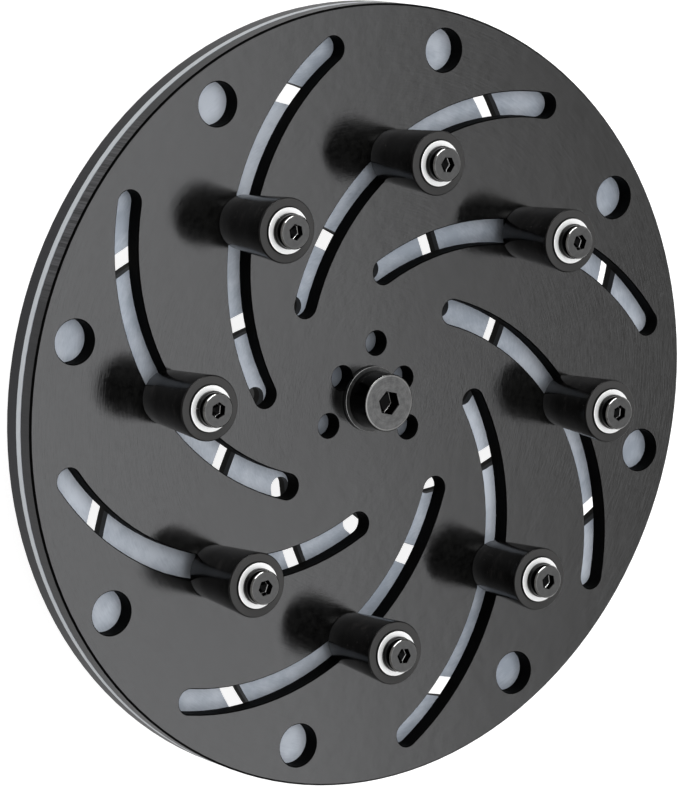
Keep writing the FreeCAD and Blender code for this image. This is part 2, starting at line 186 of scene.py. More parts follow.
def on_ring(verts, index):
    """Turn and carry points from the Z axis to buffer number index's place."""
    a = math.radians(PEG_DIR + 360.0 / len(SETS) * (index - 1))
    turn = np.array([[math.cos(a), -math.sin(a)], [math.sin(a), math.cos(a)]])
    out = np.array(verts, dtype=float)
    out[:, :2] = out[:, :2] @ turn.T + PEG_RING * np.array([math.cos(a), math.sin(a)])
    return out


def round_row(x, z, cut, steps, start, sweep, zone=0.0):
    """Rows along a rounded edge: centre (x, z), radius cut, from start by sweep degrees."""
    rows = []
    for i in range(steps + 1):
        a = math.radians(start + sweep * i / steps)
        rows.append((x + cut * math.cos(a), z + cut * math.sin(a), "round", zone))
    return rows


def thread_rows(radius, depth, pitch, low, high):
    """Rows up or down a screw thread, eight to a pitch. Its depth grows from nothing over
    the first half pitch and fades over the last."""
    count = max(4, int(round(abs(high - low) / pitch * 8)))
    rows = []
    for i in range(count + 1):
        z = low + (high - low) * i / count
        fade = min(1.0, 2.0 * abs(z - low) / pitch, 2.0 * abs(high - z) / pitch)
        rows.append((radius, z, (depth * fade, pitch)))
    return rows


# Nodes

def shade(colour, times):
    """A colour of three numbers, or of one for a grey, each times a factor."""
    three = (colour,) * 3 if isinstance(colour, float) else colour
    return tuple(times * c for c in three)


def rgba(colour):
    """The same with its alpha, for a node's socket."""
    return shade(colour, 1.0) + (1.0,)


def feed(tree, sock, value):
    """Set a socket to a value, or link a pattern to it."""
    if isinstance(value, bpy.types.NodeSocket):
        tree.links.new(value, sock)
    else:
        sock.default_value = value


def math_node(tree, kind, a, b=None, clamp=False):
    node = tree.nodes.new("ShaderNodeMath")
    node.operation = kind
    node.use_clamp = clamp
    feed(tree, node.inputs[0], a)
    if b is not None:
        feed(tree, node.inputs[1], b)
    return node.outputs[0]


def add_up(tree, *parts):
    """Several patterns added up, each a pair of the pattern and its share."""
    total = None
    for pattern, share in reversed(parts):
        part = math_node(tree, "MULTIPLY", pattern, share)
        total = part if total is None else math_node(tree, "ADD", part, total)
    return total


def noise_node(tree, vector, scale, detail=2.0, rough=0.5):
    node = tree.nodes.new("ShaderNodeTexNoise")
    feed(tree, node.inputs["Vector"], vector)
    feed(tree, node.inputs["Scale"], scale)
    node.inputs["Detail"].default_value = detail
    node.inputs["Roughness"].default_value = rough
    return node.outputs["Fac"]


def mix_colour(tree, share, a, b):
    """A colour between two. Each is a pattern, three numbers, or one number for a grey."""
    node = tree.nodes.new("ShaderNodeMix")
    node.data_type = "RGBA"
    feed(tree, node.inputs[0], share)
    colour_inputs = [sock for sock in node.inputs if sock.type == "RGBA"]
    for sock, value in zip(colour_inputs, (a, b)):
        feed(tree, sock, rgba(value) if isinstance(value, (float, tuple)) else value)
    return [sock for sock in node.outputs if sock.type == "RGBA"][0]


def map_range(tree, value, low, high, to_low, to_high, soft=False):
    """A pattern carried from one range to another and held at its ends, eased where soft."""
    node = tree.nodes.new("ShaderNodeMapRange")
    if soft:
        node.interpolation_type = "SMOOTHSTEP"
    for i, number in enumerate((low, high, to_low, to_high), start=1):
        node.inputs[i].default_value = number
    feed(tree, node.inputs[0], value)
    return node.outputs[0]


def vector_parts(tree, vector):
    """A vector's x, y and z."""
    node = tree.nodes.new("ShaderNodeSeparateXYZ")
    feed(tree, node.inputs[0], vector)
    return node.outputs


def vector_math(tree, kind, a, b=None, output="Value"):
    node = tree.nodes.new("ShaderNodeVectorMath")
    node.operation = kind
    feed(tree, node.inputs[0], a)
    if b is not None:
        feed(tree, node.inputs[1], b)
    return node.outputs[output]


def from_axis(tree, x, y):
    """The distance from the Z axis: the root of the sum of two squares."""
    squares = math_node(tree, "ADD", math_node(tree, "MULTIPLY", x, x),
                        math_node(tree, "MULTIPLY", y, y))
    return math_node(tree, "SQRT", squares)


def new_group(name, numbers, outputs):
    """A node group with a Vector input, then inputs and outputs that are numbers, by name."""
    group = bpy.data.node_groups.new(name, "ShaderNodeTree")
    group.interface.new_socket(name="Vector", in_out="INPUT", socket_type="NodeSocketVector")
    for label in numbers:
        group.interface.new_socket(name=label, in_out="INPUT", socket_type="NodeSocketFloat")
    for label in outputs:
        group.interface.new_socket(name=label, in_out="OUTPUT", socket_type="NodeSocketFloat")
    return group, group.nodes.new("NodeGroupInput"), group.nodes.new("NodeGroupOutput")


def lathe_marks_group():
    """Fine marks that run round the spindle axis: noise read at (radius, direction), so it
    changes quickly outwards and slowly along each circle."""
    tree, gin, gout = new_group("Lathe marks", ["Fineness", "Streak"], ["Mask"])
    x, y, z = vector_parts(tree, gin.outputs["Vector"])
    radius = math_node(tree, "MAXIMUM", from_axis(tree, x, y), 1e-5)
    merge = tree.nodes.new("ShaderNodeCombineXYZ")
    feed(tree, merge.inputs[0], math_node(tree, "ADD", radius, z))
    for i, part in ((1, x), (2, y)):
        unit = math_node(tree, "DIVIDE", part, radius)
        feed(tree, merge.inputs[i], math_node(tree, "MULTIPLY", unit, gin.outputs["Streak"]))
    noise = noise_node(tree, merge.outputs[0], gin.outputs["Fineness"], 4.0, 0.65)
    feed(tree, gout.inputs["Mask"], noise)
    return tree


def cloud_group():
    """Slow drift of tone over a part, from two sizes of noise added together."""
    tree, gin, gout = new_group("Tone drift", ["Scale"], ["Mask"])
    vector, scale = gin.outputs["Vector"], gin.outputs["Scale"]
    big = noise_node(tree, vector, scale, 3.0)
    small = noise_node(tree, vector, math_node(tree, "MULTIPLY", scale, 9.0), 5.0)
    feed(tree, gout.inputs["Mask"], add_up(tree, (big, 0.65), (small, 0.35)))
    return tree


def zone_group():
    """Where a point lies on the discs: Wall is 1 on upright faces inside the rim, Rim is 1
    on the rim itself and Flat is 1 on level faces."""
    tree, gin, gout = new_group("Disc zones", [], ["Wall", "Rim", "Flat"])
    geometry = tree.nodes.new("ShaderNodeNewGeometry")
    level = math_node(tree, "ABSOLUTE", vector_parts(tree, geometry.outputs["True Normal"])[2])
    upright = map_range(tree, level, 0.25, 0.5, 1.0, 0.0)
    x, y = vector_parts(tree, gin.outputs["Vector"])[:2]
    outer = map_range(tree, from_axis(tree, x, y), (RIM - 2.0) * MM, (RIM - 1.5) * MM, 0.0, 1.0)
    rim = math_node(tree, "MULTIPLY", upright, outer)
    feed(tree, gout.inputs["Wall"], math_node(tree, "SUBTRACT", upright, rim))
    feed(tree, gout.inputs["Rim"], rim)
    feed(tree, gout.inputs["Flat"], map_range(tree, level, 0.85, 0.97, 0.0, 1.0))
    return tree


def chatter_group():
    """Upright tool marks on a rim: noise read by direction from the axis alone, strong in the
    one stretch where the photograph shows them."""
    tree, gin, gout = new_group("Rim chatter", [], ["Mask"])
    level = vector_math(tree, "MULTIPLY", gin.outputs["Vector"], (1.0, 1.0, 0.0), "Vector")
    fine = noise_node(tree, level, 1350.0, 1.0, 0.4)
    marked = tuple(part / (RIM * MM) for part in CHATTER_AT) + (0.0,)
    near = vector_math(tree, "DOT_PRODUCT", level, marked)
    where = map_range(tree, near, 0.96, 0.985, 0.1, 1.0)
    mask = math_node(tree, "MULTIPLY", map_range(tree, fine, 0.38, 0.62, 0.0, 1.0), where)
    feed(tree, gout.inputs["Mask"], mask)
    return tree


LATHE = lathe_marks_group()
CLOUD = cloud_group()
ZONES = zone_group()
CHATTER = chatter_group()


# Finishes

class Finish:
    """A material under way: its tree, its shader and where its patterns are read."""

    def __init__(self, name, metallic=0.0, specular=0.5, ior=1.5):
        self.mat = bpy.data.materials.new(name)
        self.mat.use_nodes = True
        self.tree = self.mat.node_tree
        self.shader = self.tree.nodes["Principled BSDF"]
        self.shader.inputs["Metallic"].default_value = metallic
        self.shader.inputs["Specular IOR Level"].default_value = specular
        self.shader.inputs["IOR"].default_value = ior
        coords = self.tree.nodes.new("ShaderNodeTexCoord")
        self.place = coords.outputs["Object"]
        self.skin = coords.outputs["UV"]
        self.bump = None

    def group(self, group, **values):
        """A node group read on the object's own coordinates: its one output, or all by name."""
        node = self.tree.nodes.new("ShaderNodeGroup")
        node.node_tree = group
        feed(self.tree, node.inputs["Vector"], self.place)
        for label, value in values.items():
            node.inputs[label].default_value = value
        return node.outputs[0] if len(node.outputs) == 1 else node.outputs

    def grain(self, scale, detail, rough):
        """Noise on the object's own coordinates."""
        return noise_node(self.tree, self.place, scale, detail, rough)

    def rings(self, around, along, detail=4.0, rough=0.6):
        """Noise on the piece's own UV map, stretched by two factors: marks round its axis."""
        node = self.tree.nodes.new("ShaderNodeMapping")
        node.inputs["Scale"].default_value = (around, along, 1.0)
        feed(self.tree, node.inputs["Vector"], self.skin)
        return noise_node(self.tree, node.outputs[0], 1.0, detail, rough)

    def zone(self):
        """The number that the piece's rows carry."""
        node = self.tree.nodes.new("ShaderNodeAttribute")
        node.attribute_name = "zone"
        return node.outputs["Fac"]

    def blend(self, share, a, b):
        """A value between two, each a number or a pattern."""
        node = self.tree.nodes.new("ShaderNodeMix")
        for slot, value in ((0, share), (2, a), (3, b)):
            feed(self.tree, node.inputs[slot], value)
        return node.outputs[0]

    def colour(self, pattern):
        feed(self.tree, self.shader.inputs["Base Color"], pattern)

    def rough(self, pattern):
        feed(self.tree, self.shader.inputs["Roughness"], pattern)

    def metal(self, pattern):
        feed(self.tree, self.shader.inputs["Metallic"], pattern)

    def relief(self, height, distance, strength):
        """A bump on top of those before it."""
        node = self.tree.nodes.new("ShaderNodeBump")
        node.inputs["Distance"].default_value = distance
        node.inputs["Strength"].default_value = strength
        feed(self.tree, node.inputs["Height"], height)
        if self.bump is not None:
            feed(self.tree, node.inputs["Normal"], self.bump)
        self.bump = node.outputs[0]
        feed(self.tree, self.shader.inputs["Normal"], self.bump)


def anodised_black(name, dark, lift, rough, wall, rim, ticks):
    """Black anodised aluminium: turned grain under a dyed skin, with slow drift of tone from
    dark to lift. The cut walls of slots and holes take the colour wall and act as metal; on
    the front disc that colour, far darker than its rim, is painted shade. The rim has upright
    tool marks, by the share ticks."""
    f = Finish(name, ior=1.72)
    fine = f.group(LATHE, Fineness=2600.0, Streak=0.006)
    bands = f.group(LATHE, Fineness=420.0, Streak=0.05)
    drift = f.group(CLOUD, Scale=16.0)
    cloud = f.grain(420.0, 5.0, 0.75)
    speck = f.grain(5200.0, 2.0, 0.6)
    zones = f.group(ZONES)
    chatter = f.group(CHATTER)
    tone = add_up(f.tree, (bands, 0.25), (drift, 0.30), (cloud, 0.45))
    face = mix_colour(f.tree, map_range(f.tree, tone, 0.42, 0.58, 0.0, 1.0), dark, lift)
    edge = mix_colour(f.tree, speck, shade(rim, 0.75), rim)
    marks = math_node(f.tree, "MULTIPLY", chatter, ticks)
    edge = mix_colour(f.tree, marks, edge, shade(rim, 2.2))
    inside = mix_colour(f.tree, speck, wall, shade(wall, 1.6))
    cut = mix_colour(f.tree, zones["Rim"], inside, edge)
    f.metal(math_node(f.tree, "SUBTRACT", 1.0, zones["Flat"]))
    f.colour(mix_colour(f.tree, zones["Flat"], cut, face))
    satin = map_range(f.tree, tone, 0.40, 0.60, rough - 0.03, rough + 0.03)
    f.rough(f.blend(zones["Flat"], f.blend(zones["Rim"], 0.85, 0.42), satin))
    f.relief(drift, 0.0002, 0.5)
    f.relief(bands, 0.00001, 0.35)
    f.relief(fine, 0.00005, 0.6)
    f.relief(math_node(f.tree, "MULTIPLY", chatter, zones["Rim"]), 0.0001, 0.7 * ticks)
    return f.mat


def plate_metal(name):
    """The slide plate: clear anodised aluminium, dull cool grey, with painted shade near the
    pivot and on the walls of its holes.
    """
    f = Finish(name)
    full_shade_within, no_shade_beyond = 50.0 * MM, 56.0 * MM
    fine = f.group(LATHE, Fineness=1500.0, Streak=0.02)
    drift = f.group(CLOUD, Scale=17.0)
    zones = f.group(ZONES)
    tone = add_up(f.tree, (fine, 0.2), (drift, 0.8))
    face = mix_colour(f.tree, map_range(f.tree, tone, 0.42, 0.58, 0.0, 1.0),
                      (0.33, 0.37, 0.425), (0.52, 0.56, 0.615))
    far = vector_math(f.tree, "LENGTH", f.place)
    # Painted shade: the plate goes dark towards the pivot, for the shade in the small holes round it.
    painted_shade = map_range(f.tree, far, full_shade_within, no_shade_beyond, 0.62, 0.0)
    face = mix_colour(f.tree, painted_shade, face, (0.05, 0.055, 0.062))
    rim = mix_colour(f.tree, fine, (0.38, 0.41, 0.44), (0.60, 0.62, 0.64))
    # Painted shade: the walls of the plate's holes are near black, though cut from the same metal as
    # its pale rim.
    wall = mix_colour(f.tree, fine, (0.03, 0.033, 0.037), (0.05, 0.054, 0.06))
    face_or_rim = mix_colour(f.tree, zones["Rim"], face, rim)
    f.colour(mix_colour(f.tree, zones["Wall"], face_or_rim, wall))
    f.rough(f.blend(zones["Rim"], map_range(f.tree, fine, 0.3, 0.7, 0.55, 0.65), 0.32))
    f.metal(f.blend(zones["Flat"], 0.85, 0.1))
    f.relief(fine, 0.00001, 0.4)
    return f.mat


def rubber(name):
    """Black moulded rubber: glossy sides with scuffs and some dust, a duller, greyer cut face
    on top."""
    f = Finish(name, specular=0.20)
    drift = f.group(CLOUD, Scale=70.0)
    pore = f.grain(3800.0, 3.0, 0.6)
    rings = f.rings(2.0, 5.0, 3.0)
    dust = f.grain(900.0, 2.0, 0.5)
    zones = f.group(ZONES)
    scuff = f.rings(9.0, 0.25, 5.0, 0.75)
    side = mix_colour(f.tree, drift, 0.0008, (0.0022, 0.002, 0.002))
    side = mix_colour(f.tree, map_range(f.tree, scuff, 0.52, 0.78, 0.0, 1.0), side,
                      (0.020, 0.018, 0.0175))
    side = mix_colour(f.tree, map_range(f.tree, dust, 0.68, 0.76, 0.0, 0.6), side,
                      (0.055, 0.052, 0.050))
    face = mix_colour(f.tree, add_up(f.tree, (pore, 0.4), (rings, 0.6)),
                      (0.027, 0.0265, 0.026), (0.060, 0.059, 0.058))
    f.colour(mix_colour(f.tree, zones["Flat"], side, face))
    f.rough(f.blend(zones["Flat"], map_range(f.tree, drift, 0.3, 0.7, 0.14, 0.22), 0.60))
    f.relief(pore, 0.00003, 0.5)
    return f.mat


def turned_metal(name, dark, lift, rough, metallic, painted_side_shade=None):
    """Metal with fine marks round its own axis. Where the piece's zone is 1 it takes a dark
    colour: painted shade and painted reflection of the dark gap round it."""
    f = Finish(name, metallic=metallic)
    ring = f.rings(3.0, 60.0)
    drift = f.group(CLOUD, Scale=160.0)
    tone = add_up(f.tree, (ring, 0.6), (drift, 0.4))
    body = mix_colour(f.tree, map_range(f.tree, tone, 0.35, 0.65, 0.0, 1.0), dark, lift)
    if painted_side_shade is not None:
        body = mix_colour(f.tree, f.zone(), body, painted_side_shade)
    f.colour(body)
    f.rough(map_range(f.tree, tone, 0.3, 0.7, rough - 0.05, rough + 0.06))
    f.relief(ring, 0.00002, 0.6)
    return f.mat


def blackened(name, side, top, gloss, satin):
    """Blackened steel: glossy black turned sides and a greyer, mottled, satin top. Its edges
    are bright where the piece's zone is 1: the black has worn off. Where the zone is BLACK
    the sides' finish goes on; at half of it the top goes half way to the black, which on the
    flange's face is painted shade. Where the zone is that of a socket floor's edge the metal
    is painted pale: a painted glint."""
    f = Finish(name, ior=1.7)
    mottle = f.group(CLOUD, Scale=520.0)
    ring = f.rings(4.0, 3.0)
    zones = f.group(ZONES)
    edge = math_node(f.tree, "ADD", f.zone(), 0.0, clamp=True)
    # Where the zone is below 0 the sides' black is kept; on the flange's face that half black is
    # painted shade.
    black_or_painted_shade = math_node(f.tree, "MULTIPLY", f.zone(), BLACK, clamp=True)
    dark = mix_colour(f.tree, ring, shade(side, 0.6), side)
    turned = add_up(f.tree, (mottle, 0.65), (ring, 0.35))
    grey = mix_colour(f.tree, map_range(f.tree, turned, 0.40, 0.60, 0.0, 1.0),
                      shade(top, 0.3), shade(top, 1.2))
    top_only = math_node(f.tree, "SUBTRACT", zones["Flat"], black_or_painted_shade, clamp=True)
    body = mix_colour(f.tree, top_only, dark, grey)
    rub = math_node(f.tree, "MULTIPLY", edge, map_range(f.tree, mottle, 0.36, 0.5, 0.45, 1.0))
    worn = mix_colour(f.tree, rub, body, (0.26, 0.26, 0.255))
    # A painted glint: the edge of the socket's floor is painted pale.
    painted_glint = math_node(f.tree, "GREATER_THAN", f.zone(), (MARKED + PAINTED_GLINT) / 2)
    f.colour(mix_colour(f.tree, painted_glint, worn, 0.38))
    f.metal(math_node(f.tree, "MAXIMUM", math_node(f.tree, "SUBTRACT", 1.0, top_only), rub))
    f.rough(f.blend(top_only, map_range(f.tree, ring, 0.3, 0.7, gloss - 0.03, gloss + 0.05),
                    map_range(f.tree, mottle, 0.35, 0.65, satin - 0.06, satin + 0.08)))
    f.relief(mottle, 0.00004, 0.35)
    return f.mat


def lock_nut_finish(name):
    """Zinc plated steel, with a white nylon ring where the zone is 1."""
    f = Finish(name)
    ring = f.rings(3.0, 40.0)
    drift = f.group(CLOUD, Scale=200.0)
    plated = mix_colour(f.tree, drift, (0.50, 0.52, 0.55), (0.66, 0.68, 0.71))
    nylon = mix_colour(f.tree, drift, (0.62, 0.62, 0.60), (0.74, 0.74, 0.72))
    is_nylon = math_node(f.tree, "GREATER_THAN", f.zone(), 0.9)
    f.colour(mix_colour(f.tree, is_nylon, plated, nylon))
    f.metal(math_node(f.tree, "SUBTRACT", 1.0, is_nylon))
    f.rough(f.blend(is_nylon, map_range(f.tree, ring, 0.3, 0.7, 0.24, 0.36), 0.5))
    f.relief(ring, 0.00002, 0.5)
    return f.mat


FINISHES = {
    # The front disc's walls at 0.003, a tenth of its rim, are painted shade inside the slots and
    # holes.
    "front": anodised_black("black_anodised_front", dark=0.001, lift=(0.0055, 0.0055, 0.0053),
                            rough=0.105, wall=0.003, rim=(0.036, 0.036, 0.038), ticks=1.0),
    "back": anodised_black("black_anodised_back", dark=0.004, lift=0.014, rough=0.28,
                           wall=(0.034, 0.034, 0.033), rim=(0.030, 0.030, 0.033), ticks=0.1),
    "slide": plate_metal("clear_anodised_plate"),
    "rubber": rubber("buffer_rubber"),
    # The cap washer's side is painted dark: painted shade and reflection of the gap round it.
    "cap": turned_metal("bright_stainless", dark=(0.92, 0.92, 0.91), lift=(0.99, 0.99, 0.98),
                        rough=0.45, metallic=0.5, painted_side_shade=0.02),
    "oxide": blackened("black_oxide", side=0.005, top=(0.028, 0.028, 0.027),
                       gloss=0.09, satin=0.34),
    "pivot": blackened("pivot_black_oxide", side=0.005, top=(0.072, 0.072, 0.071),
                       gloss=0.20, satin=0.40),
    "zinc": turned_metal("bright_zinc", dark=(0.52, 0.54, 0.57), lift=(0.64, 0.66, 0.69),
                         rough=0.28, metallic=1.0),
    "lock": lock_nut_finish("zinc_lock_nut"),
    "hub": turned_metal("hub_black_oxide", dark=(0.030, 0.030, 0.031),
                        lift=(0.046, 0.046, 0.047), rough=0.30, metallic=0.4),
}


def dress(obj, finish):
    obj.data.materials.clear()
    obj.data.materials.append(FINISHES[finish])


# Sections of the pieces, in millimetres: each row is (radius, height, kind, zone)

def buffer_rows():
    """The rubber's section: bore, narrow foot, side that widens upwards as the photograph
    shows, rounded lip, recess for the washer."""
    bore, recess = 3.2, 8.8
    foot, foot_rad, foot_cut = FACE + GAP, 9.8, 0.4
    top, lip_rad, lip_cut = BUFFER_TOP, 11.5, 0.7
    rows = [(bore, foot), (foot_rad - STRIP, foot)]
    rows += round_row(foot_rad, foot + foot_cut, foot_cut, 3, -90, 85)
    rows += [(10.86, FACE + 10.0), (11.56, FACE + 20.0)]
    rows += round_row(lip_rad, top - lip_cut, lip_cut, 6, -5, 95)
    rows += [(10.6, top), (9.2, top)]
    rows += round_row(recess + 0.3, top - 0.3, 0.3, 3, 90, 90)
    return rows + [(recess, SINK), (bore, SINK)]


def washer_rows(inner, outer, low, high, edge, side=0.0, ring=0.0, face=0.0):
    """A washer's section with its four edges rounded off. Its side, its upper outer edge and
    its upper face each carry a zone."""
    return [
        (inner + edge, low), (outer - edge, low), (outer - 0.3 * edge, low + 0.3 * edge),
        (outer, low + edge, "round", side), (outer, high - edge - 0.02, "round", side),
        (outer, high - edge, "round", ring),
        (outer - 0.3 * edge, high - 0.3 * edge, "round", ring),
        (outer - edge, high, "round", ring), (outer - edge - 0.02, high, "round", face),
        (inner + edge, high, "round", face), (inner, high - edge), (inner, low + edge),
    ]


def socket_rows(rim, top, key, deep, lead, painted_glint):
    """The top of a screw's head and its hexagon socket, down to the drill point: the socket's
    key is half its width across the flats, its floor lies deep below the top, and the edge
    of that floor carries a zone of its own, for a painted glint."""
    floor = top - deep
    return [
        (0.5 * (rim + key * 1.15), top), (key + lead, top, "hex"),
        (key, top - lead, "hex", BLACK), (key, floor + 0.16, "hex", BLACK),
        (key - 0.01, floor + 0.14, "hex", painted_glint), (key - 0.17, floor, "hex", painted_glint),
        (key - 0.21, floor - 0.02, "hex", painted_glint), (key - 0.26, floor - 0.04, "hex", BLACK),
        (key * 0.45, floor - 0.9, "round", BLACK), (0.0, floor - 1.4, "round", BLACK)]


def buffer_screw_rows():
    """A low-head socket screw: tip, thread, shank, head with a bevelled worn edge, socket."""
    root, shank, head = 2.4, 3.0, 6.4
    tip, top = SCREW_TIP, HEAD_TOP
    rows = [(0.0, tip), (root - 0.7, tip), (root, tip + 0.6)]
    rows += thread_rows(root, 0.32, 1.0, tip + 0.7, WELL + 3.0)
    rows += [(root, FACE + 0.5), (shank, FACE + 1.0), (shank, HEAD_LOW)]
    rows += [(head - 0.2, HEAD_LOW), (head, HEAD_LOW + 0.2), (head, top - 0.55)]
    rows += [(6.37, top - 0.5, "round", MARKED), (5.93, top - 0.05, "round", MARKED)]
    rows += [(5.85, top, "round", 0.3), (5.75, top, "round", 0.3), (5.7, top)]
    # The socket floor's edge takes the painted glint's zone.
    return rows + socket_rows(5.65, top, 2.55, 2.8, 0.18, PAINTED_GLINT)


def lock_nut_rows():
    """A lock nut seen from behind: bevelled hexagon, rounded collar, nylon ring inside."""
    low, high = LOCK_BACK, LOCK_TOP
    bore, collar, half = 2.45, 3.9, 5.0
    rows = [(bore, low + 0.5, "round", MARKED), (3.5, low + 0.5, "round", MARKED)]
    rows += [(3.52, low + 0.3), (3.6, low), (collar - STRIP, low)]
    rows += round_row(collar, low + 0.6, 0.6, 4, -90, 90)
    rows += [(4.5, low + 2.0), (4.72, low + 2.02), (half - 0.1, low + 2.05, "bevel_down")]
    rows += [(half, low + 2.5, "hex"), (half, high - 0.4, "hex")]
    rows += [(half - 0.1, high - 0.05, "bevel_up"), (4.7, high), (2.6, high)]
    return rows + [(bore, high - 0.2), (bore, low + 0.6)]


def pivot_screw_rows():
    """The pivot: threaded tail, 14 mm shoulder, tall flat head with a bright bevel, socket."""
    root, neck, shoulder, head = 6.0, 5.4, 7.0, 11.0
    tip, top = PIVOT_TIP, PIVOT_TOP
    rows = [(0.0, tip), (root - 1.0, tip), (root, tip + 0.9)]
    rows += thread_rows(root, 0.8, 1.75, tip + 1.0, HUB_TOP - 1.0)
    rows += [(neck, HUB_TOP - 0.8), (neck, PLATE_BACK - 0.2), (shoulder - 0.2, PLATE_BACK)]
    rows += [(shoulder, PLATE_BACK + 0.2), (shoulder, FLANGE_TOP), (head - 0.2, FLANGE_TOP)]
    rows += [(head, FLANGE_TOP + 0.2), (head, top - 0.75)]
    rows += round_row(head - 0.7, top - 0.7, 0.7, 3, 5, 30, BLACK)
    rows += round_row(head - 0.7, top - 0.7, 0.7, 3, 45, 45, 0.9)
    rows += [(10.2, top, "round", MARKED), (10.1, top)]
    # The pivot's socket floor edge takes the worn colour at 0.8: a painted glint.
    return rows + socket_rows(10.0, top, 4.0, 5.0, 0.22, 0.8)


def pivot_nut_rows():
    """A thin hexagon nut, bevelled at both faces."""
    low, high = PIVOT_NUT_BACK, PIVOT_NUT_TOP
    bore, half = 6.05, 9.0
    return [
        (6.5, low), (8.6, low), (half - 0.1, low + 0.05, "bevel_down"),
        (half, low + 0.6, "hex"), (half, high - 0.6, "hex"),
        (half - 0.1, high - 0.05, "bevel_up"), (8.6, high), (6.5, high),
        (bore, high - 0.5), (bore, low + 0.5)]


def hub_rows():
    """The mounting hub: boss, fillet, wide flange, pivot's hole, pocket for the pivot's nut
    and the threaded spindle bore, back down to the rear face."""
    boss, flange, hole, pocket, bore = 25.0, 32.0, 6.05, 11.0, 14.75
    flange_low, bore_end, top = 24.0, 20.0, HUB_TOP
    rows = round_row(boss - 1.0, 1.0, 1.0, 4, -90, 90)
    rows += [(boss, 21.5)]
    rows += [(boss + 0.5 * (1 - math.cos(a)), flange_low - 0.5 + 0.5 * math.sin(a))
             for a in (0.3, 0.8, 1.3)]
    rows += [(flange - 0.5 - STRIP, flange_low)]
    rows += round_row(flange - 0.5, flange_low + 0.5, 0.5, 3, -90, 90)
    rows += [(flange, top - 0.5), (flange - 0.4, top), (6.5, top), (hole, top - 0.5)]
    rows += [(hole, PIVOT_NUT_TOP), (pocket, PIVOT_NUT_TOP), (pocket, bore_end)]
    rows += [(bore, bore_end)]
    rows += thread_rows(bore, -1.3, 3.5, bore_end - 0.8, 2.2)
    return rows + [(bore, 1.6), (16.0, 0.3), (16.4, 0.0), (boss - 1.0 - STRIP, 0.0)]


def helix_washer(inner, outer, low, high, gap_deg, rise):
    """A split spring washer: a square section with its corners cut off, carried round the
    axis through all but gap_deg degrees, climbing by rise from one end to the other."""
    turns, edge = 88, 0.18
    tall = high - low - rise
    section = np.array([
        (inner + edge, 0), (outer - edge, 0), (outer, edge), (outer, tall - edge),
        (outer - edge, tall), (inner + edge, tall), (inner, tall - edge), (inner, edge)])
    corners = len(section)
    t = np.linspace(0.0, 1.0, turns)
    angle = np.radians(gap_deg / 2 + t * (360.0 - gap_deg))
    x = section[None, :, 0] * np.cos(angle)[:, None]
    y = section[None, :, 0] * np.sin(angle)[:, None]
    z = low + section[None, :, 1] + (rise * t)[:, None]
    verts = np.stack([x, y, z], -1).reshape(-1, 3)
    start = np.arange(turns - 1)[:, None] * corners
    col = np.arange(corners)[None, :]
    following = (col + 1) % corners
    faces = np.stack([start + corners + col, start + corners + following,
                      start + following, start + col], -1).reshape(-1, 4).tolist()
    faces.append(list(range(corners)))
    faces.append([(turns - 1) * corners + i for i in reversed(range(corners))])
    skin = np.stack([np.repeat(t, corners), np.tile(np.arange(corners) * 0.8, turns)], 1)
    return verts, faces, skin, np.zeros(len(verts))


# Pieces

def add_piece(name, node, body, shape, finish, index=None):
    """A modelled piece in place of a solid: on the axis, or at buffer number index."""
    verts, faces, skin, zones = shape
    place = verts if index is None else on_ring(verts, index)
    obj = put_mesh(name, place, faces, skin, zones)
    dress(obj, finish)
    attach(obj, body)
    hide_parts(node)


BUFFER = ring_grid(buffer_rows(), closed=True)
# The cap washer's side carries the zone of its painted shade.
CAP = ring_grid(washer_rows(3.2, 8.6, SINK, CAP_TOP, 0.16, side=MARKED), closed=True)
SPRING = helix_washer(3.05, 6.7, CAP_TOP, HEAD_LOW, gap_deg=5.0, rise=0.12)
SCREW = ring_grid(buffer_screw_rows(), 72)
REAR = ring_grid(washer_rows(2.45, 7.5, REAR_BACK, WELL - GAP, 0.2), closed=True)
LOCK = ring_grid(lock_nut_rows(), 72, closed=True)
# The flange's upper face goes half way to the sides' black: painted shade from the pivot's head above
# it.
FLANGE = ring_grid(washer_rows(7.05, 12.6, FACE, FLANGE_TOP, 0.18, ring=MARKED, face=BLACK / 2),
                   144, closed=True)

# A buffer's set: the piece, the solid that it stands for, its shape, finish and slot.
BUFFER_SET = (
    ("rubber_buffer", "buffer", BUFFER, "rubber", "buffer"),
    ("bright_washer", "cap_washer", CAP, "cap", "cap"),
    ("split_washer", "spring_washer", SPRING, "oxide", "spring"),
    ("socket_screw", "buffer_screw", SCREW, "oxide", "screw"),
    ("wide_washer", "rear_washer", REAR, "zinc", "rear_washer"),
    ("nylon_nut", "lock_nut", LOCK, "lock", "lock_nut"),
)
for k in SETS:
    for name, node, shape, finish, slot in BUFFER_SET:
        add_piece("%s_%d" % (name, k), "%s_%d" % (node, k), "peg_%d" % k, shape, finish, k)

add_piece("shoulder_screw", "pivot_screw", "back", ring_grid(pivot_screw_rows(), 144),
          "pivot")
add_piece("flange_washer", "pivot_washer", "turn_ring", FLANGE, "pivot")
add_piece("thin_nut", "pivot_nut", "back", ring_grid(pivot_nut_rows(), closed=True),
          "zinc")
add_piece("spindle_hub", "mounting_hub", "back", ring_grid(hub_rows(), 144, closed=True),
          "hub")


